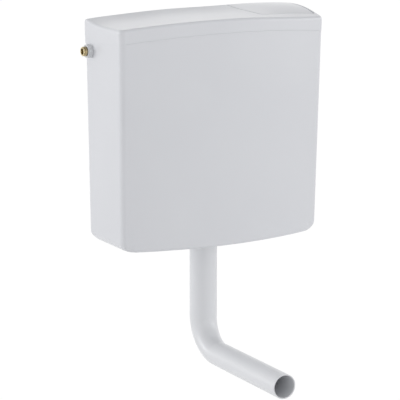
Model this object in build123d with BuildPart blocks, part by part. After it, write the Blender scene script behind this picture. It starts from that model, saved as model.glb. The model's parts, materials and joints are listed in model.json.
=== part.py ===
from build123d import *
import math
import os

# Low-level toilet cistern that hangs on a wall: a bow-fronted tank, a lid with a large flush key,
# a side inlet with its float valve, a lifting flush valve, and a flush bend below.
# The wall is the plane Y = 0 and the front looks towards -Y. The origin lies midway between the two
# wall holes, on the wall's face. Heights in this file are given above the tank's underside.

# Tank shell
tank_width = 408.0
tank_depth = 135.0
tank_height = 366.0
tank_wall = 3.5
side_draft = 5.0
front_draft = 9.5
bow_top = 24.0
bow_bottom = 37.0
corner_radius = 12.0
heel_radius = 18.0
foot_radius = 5.0
seam_crown = 9.5
seam_drop = 12.0
overrun = 20.0
seat_gap = 0.3

# Wall fixing
wall_hole_drop = 61.0
wall_hole_spacing = 220.0
wall_hole_radius = 4.5
wall_pad_radius = 11.0
wall_pad_thickness = 2.5

# Outlet well in the tank's floor, and the axis that the flush valve and the pipe share
outlet_offset = 60.0
well_radius = 52.0
well_depth = 22.0

# Flush bend: 50 mm above the bend, 44 mm below it
pipe_radius = 25.0
spigot_radius = 22.0
pipe_wall = 2.0
bend_radius = 60.0
leg_drop = 212.0
leg_reach = 285.0
pipe_insertion = 20.0
pipe_chamfer = 1.0

# Outlet base and what screws on to it
base_clearance = 0.4
base_wall = 6.1
base_hole_clearance = 1.5
base_flange_radius = 47.0
base_flange_thickness = 4.3
base_stub_drop = 4.0
seat_lip_width = 3.1
seat_lip_height = 3.0
base_seal_radius = 46.0
base_seal_thickness = 4.0
thread_clearance = 0.1
back_nut_radius = 40.0
back_nut_height = 10.0
lug_count = 6
lug_radius = 5.0
pipe_nut_wall = 4.0
pipe_nut_height = 22.0
pipe_nut_drop = 12.0
pipe_nut_lip = 4.0
grip_count = 12
grip_radius = 1.6
pipe_seal_gap = 0.2

# Basket that guides the lift tube
basket_radius = 42.0
basket_wall = 2.5
basket_height = 78.0
sleeve_height = 62.0
sleeve_wall = 2.7
window_count = 6
window_width = 22.0
window_sill = 10.0

# Lift tube and what it carries
tube_radius = 16.0
tube_wall = 2.0
tube_drop = 45.0
disc_radius = 30.0
disc_thickness = 3.0
disc_hub_height = 10.0
hub_wall = 4.0
flap_thickness = 2.6
flap_inner_radius = 17.0
ballast_radius = 34.0
ballast_height = 32.0
ballast_lift = 10.0
hook_collar_height = 14.0
hook_wall = 3.0
hook_width = 10.0
hook_bar = 4.0

# Rocker lever on its bridge, pressed down by the key and lifting the tube
pivot_place = 72.0
pivot_drop = 21.0
press_arm = 30.0
knob_radius = 4.5
knob_length = 18.0
lever_thickness = 6.0
lever_width = 10.0
lever_hub_radius = 7.0
lever_pin_radius = 3.0
pin_head_radius = 5.0
pin_head_thickness = 2.0
running_clearance = 0.05
touch_gap = 0.4
bridge_height = 10.0
bridge_width = 16.0
bridge_drop = 20.0
bridge_end_gap = 0.8
cheek_gap = 0.6
cheek_thickness = 4.0
cheek_width = 20.0
spring_table = 3.0
ledge_depth = 9.0
ledge_height = 8.0
ledge_width = 22.0

# Return spring under the press arm
spring_radius = 4.5
spring_wire = 1.0
spring_turns = 4
point_count = 96

# Inlet through the left wall, with a blank on the right
inlet_drop = 23.0
inlet_offset = 20.0
thread_radius = 8.33
nipple_bore = 5.5
nipple_reach = 16.6
nipple_depth = 22.0
nipple_flange_radius = 12.0
nipple_flange_thickness = 4.0
inlet_nut_flats = 22.4
inlet_nut_thickness = 9.0
inlet_nut_corner_share = 1.08
relief_width = 0.8
relief_depth = 0.9
inlet_hole_clearance = 0.3
washer_thickness = 2.0
washer_gap = 0.2
filter_length = 24.0
filter_wall = 0.8
filter_gap = 0.3
plug_head_radius = 12.0
plug_head_thickness = 3.0
plug_barb = 0.9
plug_barb_length = 2.5

# Float valve
barrel_radius = 11.0
barrel_length = 38.0
barrel_flange_radius = 13.0
barrel_flange_thickness = 4.0
branch_radius = 8.0
branch_length = 8.0
branch_place = 16.0
diaphragm_thickness = 2.0
cap_wall = 2.0
cap_front = 7.0
cap_skirt = 10.0
cap_gap = 0.3
plunger_radius = 3.0
plunger_reach = 3.5
ear_reach = 10.0
ear_gap = 1.0
ear_thickness = 3.0
arm_pin_radius = 2.0
arm_pin_drop = 7.0
arm_hub_radius = 5.0
arm_width = 12.0
arm_length = 43.0
arm_thickness = 6.0
heel_thickness = 4.0
heel_height = 11.0
rod_radius = 2.5
rod_collar_radius = 5.5
float_length = 66.0
float_width = 50.0
float_height = 58.0
float_drop = 38.0
float_corner = 8.0
float_back_gap = 14.0
float_wall = 1.6
float_boss = 16.0
down_tube_end = 60.0
down_tube_wall = 1.2

# Insulating liner
liner_thickness = 4.0
liner_drop = 53.0

# Lid, whose top is a scoop on the left that swells into a nose on the right
lid_overhang = 0.5
lid_wall = 3.0
lid_height = 25.5
lid_crown = 9.7
lid_wave = 16.0
lid_edge_radius = 6.0
skirt_depth = 8.0
skirt_thickness = 2.2
skirt_gap = 0.5
skirt_shoulder = 3.0
skirt_notch = 42.0
depth_shares = (-0.15, 0.0, 0.15, 0.33, 0.57, 0.8, 0.9, 1.0, 1.25)
scoop_shares = (0.72, 0.44, 0.17, -0.04, -0.12, -0.08, -0.05, 0.0, 0.02)
nose_shares = (0.42, 0.66, 0.84, 0.9, 0.77, 0.41, 0.2, 0.03, -0.1)
wave_start_share = 0.1
wave_end_share = 0.9
section_shares = (-1.06, -0.65, -0.25, 0.1, 0.36, 0.62, 0.88, 1.06)

# Flush key in the right half of the lid
key_left_back = 78.0
key_left_front = 86.0
key_right = 194.5
key_back = 5.0
key_front = 118.5
key_gap = 1.5
key_end_gap = 2.0
key_wall = 2.5
key_skirt_rise = 18.0
key_corner = 10.0
key_end_corner = 4.0
key_edge_radius = 1.2
hinge_offset = 14.0
hinge_rise = 26.0
hinge_pin_radius = 2.0
hinge_ear_thickness = 5.0
hinge_ear_radius = 6.0
stud_offset = 64.0
stud_radius = 3.0
stud_tip_radius = 4.0
stud_boss_radius = 7.0
stud_boss_rise = 19.0
stud_engagement = 12.0
stud_nut_flats = 10.0
stud_nut_thickness = 4.5

# Places worked out from the sizes above
wall_hole_height = tank_height - wall_hole_drop
pivot_height = tank_height - pivot_drop
inlet_height = tank_height - inlet_drop
key_skirt_height = tank_height + key_skirt_rise
hinge_height = tank_height + hinge_rise
stud_boss_height = tank_height + stud_boss_rise
tube_top = pivot_height - tube_drop
liner_top = inlet_height - liner_drop
arm_pin_height = inlet_height - arm_pin_drop
float_top = arm_pin_height - float_drop
floor_z = -wall_hole_height
outlet = (0, -outlet_offset)
base_bore = pipe_radius + base_clearance
base_radius = base_bore + base_wall
well_top = well_depth + tank_wall
seal_top = well_top + base_seal_thickness
flange_top = seal_top + base_flange_thickness
lip_top = flange_top + seat_lip_height
basket_top = flange_top + basket_height
disc_bottom = lip_top + seat_gap + flap_thickness
knob_top = pivot_height + knob_radius
hook_under = knob_top + touch_gap
stud_place = pivot_place + press_arm
stud_tip_height = knob_top + touch_gap + stud_tip_radius
bridge_base = pivot_height - bridge_drop
rim_reach = tank_height + seam_crown + overrun
seam_slope = seam_drop / tank_depth
half_width = tank_width / 2

os.makedirs("parts", exist_ok=True)


def level(height):
    """Height above the tank's underside, as a height in the part's own frame."""
    return floor_z + height


def half_at(height):
    """Half the tank's width at a height."""
    return half_width - side_draft * (1 - height / tank_height)


def corner_depth_at(height):
    """Distance from the wall to the front corners at a height."""
    return tank_depth - front_draft * (1 - height / tank_height)


def bow_at(height):
    """How far the front's middle stands out beyond its corners at a height."""
    return bow_bottom + (bow_top - bow_bottom) * height / tank_height


def front_at(place, height):
    """Distance from the wall to the outside of the bowed front."""
    share = place / half_at(height)
    return corner_depth_at(height) + bow_at(height) * (1 - share**2)


def outline(height, inset):
    """Plan of the tank at a height, drawn in by inset and still reaching past the wall."""
    half = half_at(height) - inset
    front = corner_depth_at(height) - inset
    with BuildSketch(Plane.XY.offset(level(height))) as plan:
        with BuildLine():
            Polyline((-half, -front), (-half, overrun), (half, overrun), (half, -front))
            ThreePointArc((half, -front), (0, -front - bow_at(height)), (-half, -front))
        make_face()
        fillet(plan.vertices().group_by(Axis.Y)[0], corner_radius - inset)
    return plan.sketch


def prism_form(low, high, inset):
    """Closed body between two heights, drawn in by inset, with a flat back and sharp edges."""
    with BuildPart() as form:
        loft([outline(low, inset), outline(high, inset)], ruled=True)
        split(bisect_by=Plane.XZ.offset(max(inset, 0)), keep=Keep.TOP)
    return form.part


def tank_form(low, high, inset):
    """The same closed body with its lower rear edge rounded."""
    with BuildPart() as form:
        add(prism_form(low, high, inset))
        heel = form.edges().group_by(Axis.Z)[0].sort_by(Axis.Y)[-1]
        fillet(heel, heel_radius - inset)
    return form.part


def seam_side(rise, upward):
    """All that lies above, or below, the arched and sloping seam raised by rise."""
    reach = half_width + overrun
    arch = seam_crown * (reach / half_width) ** 2
    wall_height = tank_height - seam_drop + rise
    far = overrun if upward else -tank_height
    run = tank_depth + bow_bottom + 2 * overrun
    with BuildPart() as side:
        with BuildSketch(Plane.XZ.offset(-overrun)):
            with BuildLine():
                start_height = level(wall_height - seam_slope * overrun)
                ends = start_height + seam_crown - arch
                crest = start_height + seam_crown
                outer = crest + 4 * far if upward else ends + far
                ThreePointArc((-reach, ends), (0, crest), (reach, ends))
                Polyline((reach, ends), (reach, outer), (-reach, outer), (-reach, ends))
            make_face()
        extrude(amount=run, dir=(0, -1, seam_slope))
    return side.part


def wave_share(place):
    """Nought where the lid's top is a scoop, one where it is a nose, with a smooth change between."""
    start = wave_start_share * half_width
    end = wave_end_share * half_width
    share = min(max((place - start) / (end - start), 0), 1)
    return share**2 * (3 - 2 * share)


def wave_form(low, drop):
    """All that lies between a height and the lid's top, lowered by drop."""
    with BuildPart() as form:
        for place_share in section_shares:
            place = place_share * half_width
            crown = lid_crown * (1 - place_share**2)
            nose = wave_share(place)
            line = []
            for depth, scoop_rise, nose_rise in zip(depth_shares, scoop_shares, nose_shares):
                rise = scoop_rise + (nose_rise - scoop_rise) * nose
                top = tank_height + lid_height + crown + rise * lid_wave - drop
                line.append((-depth * tank_depth, level(top)))
            with BuildSketch(Plane.YZ.offset(place)):
                with BuildLine():
                    Spline(*line)
                    Polyline(line[-1], (line[-1][0], level(low)), (line[0][0], level(low)), line[0])
                make_face()
        loft()
    return form.part


def ring(outer, inner, low, high, centre=outlet, mode=Mode.ADD):
    """Upright ring or disc between two heights, in the part being built."""
    with BuildSketch(Plane.XY.offset(level(low))) as plan:
        with Locations(centre):
            Circle(outer)
            if inner:
                Circle(inner, mode=Mode.SUBTRACT)
    extrude(plan.sketch, amount=high - low, mode=mode)


def side_ring(outer, inner, start, end, height, offset=inlet_offset, mode=Mode.ADD):
    """Ring or disc about an axis along X, from start to end, in the part being built."""
    with BuildSketch(Plane.YZ.offset(start)) as plan:
        with Locations((-offset, level(height))):
            Circle(outer)
            if inner:
                Circle(inner, mode=Mode.SUBTRACT)
    extrude(plan.sketch, amount=end - start, mode=mode)


def cross_ring(outer, inner, start, end, place, height, mode=Mode.ADD):
    """Ring or disc about an axis along Y, from start back to end, in the part being built."""
    with BuildSketch(Plane.XZ.offset(start)) as plan:
        with Locations((place, level(height))):
            Circle(outer)
            if inner:
                Circle(inner, mode=Mode.SUBTRACT)
    extrude(plan.sketch, amount=end - start, mode=mode)


def block(left, right, front, back, low, high, mode=Mode.ADD):
    """Upright block between X limits, distances from the wall, and heights."""
    with BuildSketch(Plane.XY.offset(level(low))) as plan:
        with Locations(((left + right) / 2, -(front + back) / 2)):
            Rectangle(right - left, front - back)
    extrude(plan.sketch, amount=high - low, mode=mode)


def finish(part, name):
    """Label a finished piece and write it."""
    part.label = name
    export_step(part, f"parts/{name}.step")


# Tank: moulded shell with the outlet well, the wall pads, and ledges for the bridge
outer_shell = tank_form(0, rim_reach, 0)
with BuildPart() as rounded_shell:
    add(outer_shell)
    foot = rounded_shell.edges().group_by(Axis.Z)[0].sort_by(Axis.Y)[0:-1]
    fillet(foot, foot_radius)
inner_wall = front_at(pivot_place, bridge_base) - tank_wall

with BuildPart() as tank:
    add(rounded_shell.part)
    add(tank_form(tank_wall, rim_reach + overrun, tank_wall), mode=Mode.SUBTRACT)
    ring(well_radius + tank_wall, 0, tank_wall / 2, well_top)
    ring(well_radius, 0, -overrun, well_depth, mode=Mode.SUBTRACT)
    ring(base_radius + base_hole_clearance, 0, -overrun, well_top + overrun, mode=Mode.SUBTRACT)
    with BuildSketch(Plane.XZ.offset(tank_wall / 2)):
        with GridLocations(wall_hole_spacing, 0, 2, 1):
            Circle(wall_pad_radius)
    extrude(amount=tank_wall / 2 + wall_pad_thickness)
    with BuildSketch(Plane.XZ.offset(-overrun)):
        with GridLocations(wall_hole_spacing, 0, 2, 1):
            Circle(wall_hole_radius)
    extrude(amount=2 * overrun, mode=Mode.SUBTRACT)
    ledge_left = pivot_place - ledge_width / 2
    ledge_right = pivot_place + ledge_width / 2
    ledge_base = bridge_base - ledge_height
    block(ledge_left, ledge_right, tank_wall + ledge_depth, tank_wall / 2, ledge_base, bridge_base)
    block(ledge_left, ledge_right, inner_wall + tank_wall / 2, inner_wall - ledge_depth,
          ledge_base, bridge_base)
    side_ring(thread_radius + inlet_hole_clearance, 0, -half_width - overrun, half_width + overrun,
              inlet_height, mode=Mode.SUBTRACT)
    add(seam_side(0, True), mode=Mode.SUBTRACT)
finish(tank.part, "tank")

# Liner: foam tray inside the tank that keeps its outside dry
liner_inset = tank_wall + seat_gap
with BuildPart() as insulation_liner:
    add(tank_form(liner_inset, liner_top, liner_inset))
    hollow_inset = liner_inset + liner_thickness
    add(tank_form(hollow_inset, liner_top + overrun, hollow_inset), mode=Mode.SUBTRACT)
    ring(well_radius + tank_wall + seat_gap, 0, 0, well_top + overrun, mode=Mode.SUBTRACT)
finish(insulation_liner.part, "insulation_liner")

# Outlet base: flanged stub with the valve seat on top, clamped through the well
with BuildPart() as outlet_base:
    ring(base_radius, base_bore, -base_stub_drop, seal_top)
    ring(base_flange_radius, base_bore, seal_top, flange_top)
    ring(base_bore + seat_lip_width, base_bore, flange_top, lip_top)
    fillet(outlet_base.edges().filter_by(GeomType.CIRCLE).group_by(Axis.Z)[-1], seat_lip_width / 4)
finish(outlet_base.part, "outlet_base")

with BuildPart() as base_seal:
    ring(base_seal_radius, base_radius + base_hole_clearance, well_top, seal_top)
finish(base_seal.part, "base_seal")

# Back nut: ring nut with lugs that draws the base down on to its seal
with BuildPart() as back_nut:
    ring(back_nut_radius, 0, well_depth - back_nut_height, well_depth)
    with BuildSketch(Plane.XY.offset(level(well_depth - back_nut_height))):
        with Locations(outlet):
            with PolarLocations(back_nut_radius, lug_count):
                Circle(lug_radius)
    extrude(amount=back_nut_height)
    ring(base_radius + thread_clearance, 0, -overrun, well_top, mode=Mode.SUBTRACT)
finish(back_nut.part, "back_nut")

# Pipe nut: ribbed coupling nut that squeezes the seal on to the flush bend
pipe_nut_base = -pipe_nut_drop
nut_inner = base_radius + thread_clearance
with BuildPart() as pipe_nut:
    ring(nut_inner + pipe_nut_wall, 0, pipe_nut_base, pipe_nut_base + pipe_nut_height)
    chamfer(pipe_nut.faces().sort_by(Axis.Z)[0].edges(), pipe_nut_wall / 3)
    with BuildSketch(Plane.XY.offset(level(pipe_nut_base + pipe_nut_lip))):
        with Locations(outlet):
            with PolarLocations(nut_inner + pipe_nut_wall, grip_count):
                Circle(grip_radius)
    extrude(amount=pipe_nut_height - pipe_nut_lip)
    ring(nut_inner, 0, pipe_nut_base + pipe_nut_lip, pipe_nut_height, mode=Mode.SUBTRACT)
    ring(pipe_radius + base_clearance, 0, -overrun, pipe_nut_height, mode=Mode.SUBTRACT)
finish(pipe_nut.part, "pipe_nut")

with BuildPart() as pipe_seal:
    ring(base_radius - seat_gap, pipe_radius + pipe_seal_gap,
         pipe_nut_base + pipe_nut_lip, -base_stub_drop)
finish(pipe_seal.part, "pipe_seal")

# Flush bend: thin pipe that turns forwards and narrows to its spigot in the bend
bend_start = -leg_drop + bend_radius
leg_start = outlet_offset + bend_radius
leg_end = outlet_offset + leg_reach


def bend_core(upper, lower, overlap):
    """Solid rod along the flush bend, with one radius above the bend and one below it."""
    start = (0, -outlet_offset, level(bend_start))
    end = (0, -leg_start, level(-leg_drop))
    slant = bend_radius * math.sqrt(0.5)
    middle = (0, -leg_start + slant, level(bend_start) - slant)
    with BuildPart() as core:
        ring(upper, 0, bend_start, pipe_insertion + overlap)
        with BuildLine():
            ThreePointArc(start, middle, end)
        with BuildSketch(Plane(origin=start, z_dir=(0, 0, -1), x_dir=(1, 0, 0))):
            Circle(upper)
        with BuildSketch(Plane(origin=end, z_dir=(0, -1, 0), x_dir=(1, 0, 0))):
            Circle(lower)
        sweep(multisection=True)
        cross_ring(lower, 0, leg_start, leg_end + overlap, 0, -leg_drop)
    return core.part


with BuildPart() as flush_bend:
    add(bend_core(pipe_radius, spigot_radius, 0))
    chamfer(flush_bend.edges().filter_by(GeomType.CIRCLE).sort_by(Axis.Y)[0], pipe_chamfer)
    add(bend_core(pipe_radius - pipe_wall, spigot_radius - pipe_wall, overrun), mode=Mode.SUBTRACT)
finish(flush_bend.part, "flush_bend")

# Valve basket: windowed cage on the base, with the sleeve that guides the lift tube
sleeve_inner = tube_radius + seat_gap
window_height = basket_height - 2 * window_sill
with BuildPart() as valve_basket:
    ring(basket_radius, basket_radius - basket_wall, flange_top, basket_top)
    ring(basket_radius, sleeve_inner, basket_top - basket_wall, basket_top)
    ring(sleeve_inner + sleeve_wall, sleeve_inner, basket_top, basket_top + sleeve_height)
    with BuildSketch(Plane.XY.offset(level(flange_top + window_sill))):
        with Locations(outlet):
            with PolarLocations(basket_radius, window_count):
                Rectangle(overrun, window_width)
    extrude(amount=window_height, mode=Mode.SUBTRACT)
finish(valve_basket.part, "valve_basket")

# Lift tube: overflow pipe that rises with the valve disc, its seal and its ballast float
with BuildPart() as lift_tube:
    ring(tube_radius, tube_radius - tube_wall, disc_bottom, tube_top)
finish(lift_tube.part, "lift_tube")

with BuildPart() as valve_disc:
    ring(disc_radius, tube_radius, disc_bottom, disc_bottom + disc_thickness)
    ring(tube_radius + hub_wall, tube_radius, disc_bottom, disc_bottom + disc_hub_height)
finish(valve_disc.part, "valve_disc")

with BuildPart() as valve_seal:
    ring(disc_radius, flap_inner_radius, disc_bottom - flap_thickness, disc_bottom)
finish(valve_seal.part, "valve_seal")

ballast_base = disc_bottom + disc_hub_height + ballast_lift
with BuildPart() as valve_float:
    ring(ballast_radius, tube_radius, ballast_base, ballast_base + ballast_height)
    outer_edges = valve_float.edges().filter_by(GeomType.CIRCLE).sort_by(SortBy.RADIUS)[-2:]
    fillet(outer_edges.sort_by(Axis.Z)[-1], hub_wall)
    ring(ballast_radius - float_wall, tube_radius + float_wall, ballast_base - overrun,
         ballast_base + ballast_height - hub_wall, mode=Mode.SUBTRACT)
finish(valve_float.part, "valve_float")

# Lift hook: stirrup clipped round the top of the tube, whose bar the lever lifts
hook_outer = tube_radius + hook_wall
with BuildPart() as lift_hook:
    ring(hook_outer, 0, tube_top - hook_collar_height, tube_top)
    for side in (-1, 1):
        leg = outlet_offset + side * (hook_outer - hook_wall / 2)
        block(-hook_width / 2, hook_width / 2, leg + hook_wall / 2, leg - hook_wall / 2,
              tube_top - hook_collar_height, hook_under + hook_bar)
    block(-hook_width / 2, hook_width / 2, outlet_offset + hook_outer, outlet_offset - hook_outer,
          hook_under, hook_under + hook_bar)
    fillet(lift_hook.edges().filter_by(Axis.X).group_by(Axis.Z)[-1], hook_wall)
    ring(tube_radius, 0, 0, tube_top + overrun, mode=Mode.SUBTRACT)
finish(lift_hook.part, "lift_hook")

# Bridge: beam from the rear ledge to the front ledge, with cheeks for the lever's pin
cheek_inner = knob_length / 2 + cheek_gap
with BuildPart() as bridge:
    bridge_right = pivot_place + bridge_width / 2
    bridge_front = front_at(bridge_right, bridge_base) - tank_wall - bridge_end_gap
    block(pivot_place - bridge_width / 2, bridge_right, bridge_front, tank_wall + bridge_end_gap,
          bridge_base, bridge_base + bridge_height)
    for side in (-1, 1):
        middle = outlet_offset + side * (cheek_inner + cheek_thickness / 2)
        block(pivot_place - cheek_width / 2, pivot_place + cheek_width / 2,
              middle + cheek_thickness / 2, middle - cheek_thickness / 2,
              bridge_base, pivot_height + lever_hub_radius)
    block(pivot_place, stud_place + spring_radius * 2, outlet_offset + bridge_width / 2,
          outlet_offset - bridge_width / 2, bridge_base, bridge_base + spring_table)
    tops = bridge.edges().filter_by(Axis.Y).group_by(Axis.Z)[-1]
    fillet(tops, lever_hub_radius)
    cross_ring(lever_pin_radius + running_clearance, 0, outlet_offset - cheek_inner - overrun,
               outlet_offset + cheek_inner + overrun, pivot_place, pivot_height, mode=Mode.SUBTRACT)
finish(bridge.part, "bridge")

# Rocker lever: long arm under the hook's bar, short arm under the key's stud
knob_start = outlet_offset - knob_length / 2
knob_end = outlet_offset + knob_length / 2
with BuildPart() as rocker_lever:
    block(0, stud_place, outlet_offset + lever_width / 2, outlet_offset - lever_width / 2,
          pivot_height - lever_thickness / 2, pivot_height + lever_thickness / 2)
    cross_ring(knob_radius, 0, knob_start, knob_end, 0, pivot_height)
    cross_ring(knob_radius, 0, knob_start, knob_end, stud_place, pivot_height)
    cross_ring(lever_hub_radius, 0, knob_start, knob_end, pivot_place, pivot_height)
    cross_ring(lever_pin_radius + running_clearance, 0, knob_start, knob_end,
               pivot_place, pivot_height, mode=Mode.SUBTRACT)
finish(rocker_lever.part, "rocker_lever")

pin_half = cheek_inner + cheek_thickness + seat_gap
with BuildPart() as lever_pin:
    cross_ring(lever_pin_radius, 0, outlet_offset - pin_half, outlet_offset + pin_half,
               pivot_place, pivot_height)
    cross_ring(pin_head_radius, 0, outlet_offset + pin_half,
               outlet_offset + pin_half + pin_head_thickness, pivot_place, pivot_height)
finish(lever_pin.part, "lever_pin")

# Return spring: open coil between the bridge's table and the press arm
spring_low = bridge_base + spring_table + spring_wire / 2 + seat_gap
spring_high = pivot_height - knob_radius - spring_wire / 2 - seat_gap
spring_pitch = (spring_high - spring_low) / spring_turns


def coil_point(turns):
    """Point on the spring's centre line after so many turns."""
    angle = 2 * math.pi * turns
    across = stud_place + spring_radius * math.cos(angle)
    along = -outlet_offset + spring_radius * math.sin(angle)
    return Vector(across, along, level(spring_low) + spring_pitch * turns)


def coil_direction(turns):
    """Direction of the spring's centre line after so many turns."""
    angle = 2 * math.pi * turns
    round_way = 2 * math.pi * spring_radius
    return Vector(-round_way * math.sin(angle), round_way * math.cos(angle), spring_pitch).normalized()


def biarc_joint(start, end, leaving, arriving):
    """Point where two arcs of equal reach meet, one leaving the start and one arriving at the end."""
    span = end - start
    bend = 2 * (leaving.dot(arriving) - 1)
    pull = -2 * span.dot(leaving + arriving)
    reach = (-pull - math.sqrt(pull**2 - 4 * bend * span.dot(span))) / (2 * bend)
    return (start + leaving * reach + end - arriving * reach) / 2


with BuildPart() as return_spring:
    with BuildLine() as coil:
        for half in range(2 * spring_turns):
            start, end = coil_point(half / 2), coil_point((half + 1) / 2)
            leaving, arriving = coil_direction(half / 2), coil_direction((half + 1) / 2)
            joint = biarc_joint(start, end, leaving, arriving)
            first_arc = TangentArc(start, joint, tangent=leaving)
            TangentArc(joint, end, tangent=first_arc % 1)
    with BuildSketch(Plane(origin=coil_point(0), z_dir=coil_direction(0))):
        Circle(spring_wire / 2)
    sweep(path=coil.line)
finish(return_spring.part, "return_spring")
places = [place / point_count * spring_turns for place in range(point_count + 1)]
spring_gap = min((coil_point(first) - coil_point(second)).length
                 for first in places for second in places if abs(first - second) > 1 / 2) - spring_wire
print("spring: least gap between turns", round(spring_gap, 2))

# Inlet: brass nipple through the left wall, with its seal inside and its nut outside
wall_out = -half_at(inlet_height)
wall_in = wall_out + tank_wall
seal_start = wall_in + washer_gap
flange_start = seal_start + washer_thickness
flange_end = flange_start + nipple_flange_thickness
nipple_end = flange_end + nipple_depth / 2
with BuildPart() as inlet_nipple:
    side_ring(thread_radius, 0, wall_out - nipple_reach, nipple_end, inlet_height)
    chamfer(inlet_nipple.faces().sort_by(Axis.X)[0].edges(), thread_radius / 10)
    side_ring(nipple_flange_radius, 0, flange_start, flange_end, inlet_height)
    relief_end = wall_out - washer_gap - inlet_nut_thickness
    side_ring(nipple_flange_radius, thread_radius - relief_depth, relief_end - relief_width,
              relief_end, inlet_height, mode=Mode.SUBTRACT)
    side_ring(nipple_bore, 0, wall_out - nipple_reach, nipple_end, inlet_height, mode=Mode.SUBTRACT)
finish(inlet_nipple.part, "inlet_nipple")

with BuildPart() as inlet_nut:
    nut_face = wall_out - washer_gap
    with BuildSketch(Plane.YZ.offset(nut_face - inlet_nut_thickness)):
        with Locations((-inlet_offset, level(inlet_height))):
            RegularPolygon(inlet_nut_flats / 2, 6, major_radius=False)
    extrude(amount=inlet_nut_thickness)
    side_ring(inlet_nut_flats / 2 * inlet_nut_corner_share, 0, nut_face - inlet_nut_thickness,
              nut_face, inlet_height, mode=Mode.INTERSECT)
    side_ring(thread_radius + thread_clearance, 0, nut_face - inlet_nut_thickness, nut_face,
              inlet_height, mode=Mode.SUBTRACT)
finish(inlet_nut.part, "inlet_nut")

with BuildPart() as inlet_seal:
    side_ring(nipple_flange_radius, thread_radius + thread_clearance, seal_start, flange_start,
              inlet_height)
finish(inlet_seal.part, "inlet_seal")

with BuildPart() as inlet_filter:
    filter_start = nipple_end - filter_length
    filter_radius = nipple_bore - filter_gap
    side_ring(filter_radius, filter_radius - filter_wall, filter_start, nipple_end, inlet_height)
    side_ring(filter_radius, 0, filter_start, filter_start + filter_wall, inlet_height)
finish(inlet_filter.part, "inlet_filter")

# Blanking plug and its washer in the unused hole on the right
with BuildPart() as plug_washer:
    side_ring(plug_head_radius, thread_radius + thread_clearance, -wall_out + washer_gap,
              -wall_out + washer_gap + washer_thickness / 2, inlet_height)
finish(plug_washer.part, "plug_washer")

plug_seat = -wall_out + washer_gap + washer_thickness / 2
with BuildPart() as blanking_plug:
    side_ring(plug_head_radius, 0, plug_seat, plug_seat + plug_head_thickness, inlet_height)
    fillet(blanking_plug.faces().sort_by(Axis.X)[-1].edges(), plug_head_thickness / 3)
    side_ring(thread_radius, 0, -wall_in - washer_gap - plug_barb_length, plug_seat, inlet_height)
    side_ring(thread_radius + plug_barb, 0, -wall_in - washer_gap - plug_barb_length,
              -wall_in - washer_gap, inlet_height)
finish(blanking_plug.part, "blanking_plug")

# Float valve body: barrel on the nipple, with its branch to the down tube
barrel_start = flange_end + washer_gap
barrel_end = barrel_start + barrel_length
branch_x = barrel_start + branch_place
branch_low = inlet_height - barrel_radius - branch_length
with BuildPart() as float_valve_body:
    side_ring(barrel_radius, 0, barrel_start, barrel_end, inlet_height)
    side_ring(barrel_flange_radius, 0, barrel_end - barrel_flange_thickness, barrel_end, inlet_height)
    ring(branch_radius, 0, branch_low, inlet_height, centre=(branch_x, -inlet_offset))
    side_ring(thread_radius + thread_clearance, 0, barrel_start, nipple_end + washer_gap,
              inlet_height, mode=Mode.SUBTRACT)
    side_ring(nipple_bore, 0, barrel_start, barrel_end, inlet_height, mode=Mode.SUBTRACT)
    ring(branch_radius - 2 * down_tube_wall, 0, branch_low, inlet_height,
         centre=(branch_x, -inlet_offset), mode=Mode.SUBTRACT)
finish(float_valve_body.part, "float_valve_body")

with BuildPart() as down_tube:
    ring(branch_radius + down_tube_wall + seat_gap, branch_radius + seat_gap, down_tube_end,
         branch_low + branch_length / 2, centre=(branch_x, -inlet_offset))
finish(down_tube.part, "down_tube")

# Diaphragm, screw cap, and the plunger that the float arm presses on it
diaphragm_end = barrel_end + diaphragm_thickness
with BuildPart() as diaphragm:
    side_ring(barrel_flange_radius, 0, barrel_end, diaphragm_end, inlet_height)
finish(diaphragm.part, "diaphragm")

cap_inner = barrel_flange_radius + cap_gap
cap_back = barrel_end - cap_skirt
cap_end = diaphragm_end + cap_front
arm_pin_x = cap_end + ear_reach - arm_hub_radius / 2
ear_inner = arm_width / 2 + ear_gap
with BuildPart() as valve_cap:
    side_ring(cap_inner + cap_wall, 0, cap_back, cap_end, inlet_height)
    fillet(valve_cap.faces().sort_by(Axis.X)[-1].edges(), cap_wall)
    for side in (-1, 1):
        middle = inlet_offset + side * (ear_inner + ear_thickness / 2)
        block(cap_end - cap_wall, arm_pin_x + arm_hub_radius, middle + ear_thickness / 2,
              middle - ear_thickness / 2, arm_pin_height - arm_hub_radius,
              arm_pin_height + arm_hub_radius)
    side_ring(cap_inner, 0, barrel_end - barrel_flange_thickness - cap_gap, diaphragm_end,
              inlet_height, mode=Mode.SUBTRACT)
    side_ring(barrel_radius + cap_gap, 0, cap_back, barrel_end, inlet_height, mode=Mode.SUBTRACT)
    side_ring(plunger_radius + cap_gap, 0, diaphragm_end, cap_end, inlet_height, mode=Mode.SUBTRACT)
    cross_ring(arm_pin_radius + running_clearance, 0, inlet_offset - ear_inner - overrun,
               inlet_offset + ear_inner + overrun, arm_pin_x, arm_pin_height, mode=Mode.SUBTRACT)
finish(valve_cap.part, "valve_cap")

plunger_end = cap_end + plunger_reach
with BuildPart() as plunger:
    side_ring(plunger_radius, 0, diaphragm_end + washer_gap, plunger_end, inlet_height)
    fillet(plunger.faces().sort_by(Axis.X)[-1].edges(), plunger_radius / 3)
finish(plunger.part, "plunger")

with BuildPart() as arm_pin:
    cross_ring(arm_pin_radius, 0, inlet_offset - ear_inner - ear_thickness - washer_gap,
               inlet_offset + ear_inner + ear_thickness + washer_gap, arm_pin_x, arm_pin_height)
finish(arm_pin.part, "arm_pin")

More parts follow.
